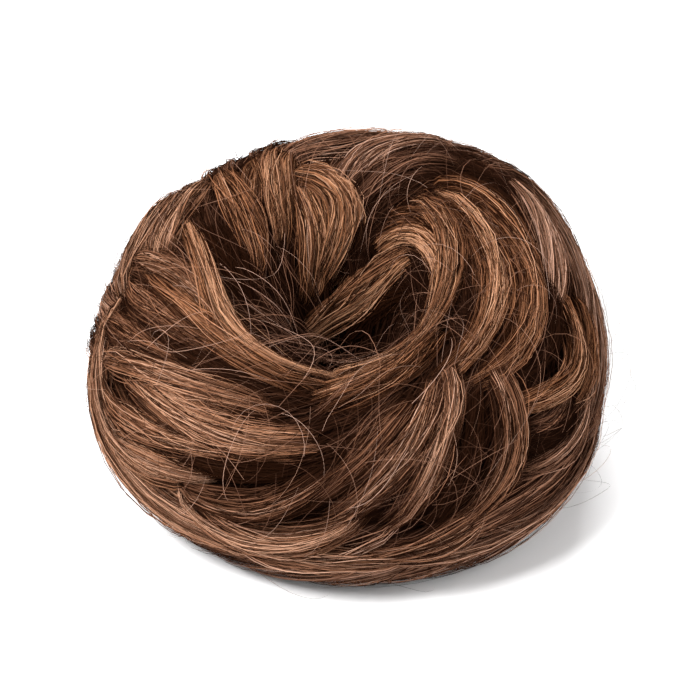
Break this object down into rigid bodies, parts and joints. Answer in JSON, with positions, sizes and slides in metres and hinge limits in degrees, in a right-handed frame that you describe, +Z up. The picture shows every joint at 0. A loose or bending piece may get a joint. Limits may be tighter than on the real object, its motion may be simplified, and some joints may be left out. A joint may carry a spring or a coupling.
{
  "type": "top knot hairpiece",
  "caption": "Ring-shaped messy bun hairpiece: curled locks of false hair fused round a ring, with loose locks laid over it and an elastic band inside its hole.",
  "frame": {"origin": "middle of the flat base that the bun rests on", "axes": "+Z up, along the hole that the wearer's own hair goes through; -Y is the side that the picture looks at; +X is to its right"},
  "size_m": [0.1351, 0.1329, 0.0721],
  "materials": {
    "hair_brown": "satin synthetic hair",
    "hair_caramel": "satin synthetic hair",
    "elastic_black": "matte braided elastic"
  },
  "bodies": {
    "root": {"hair_ring": "hair_brown", "swirl_lock": "hair_caramel", "crown_lock": "hair_brown", "arc_lock": "hair_caramel", "side_lock": "hair_brown", "hook_lock": "hair_caramel", "left_sweep_lock": "hair_caramel", "back_left_lock": "hair_brown", "tongue_lock": "hair_caramel", "elastic_band": "elastic_black"}
  },
  "joints": []
}
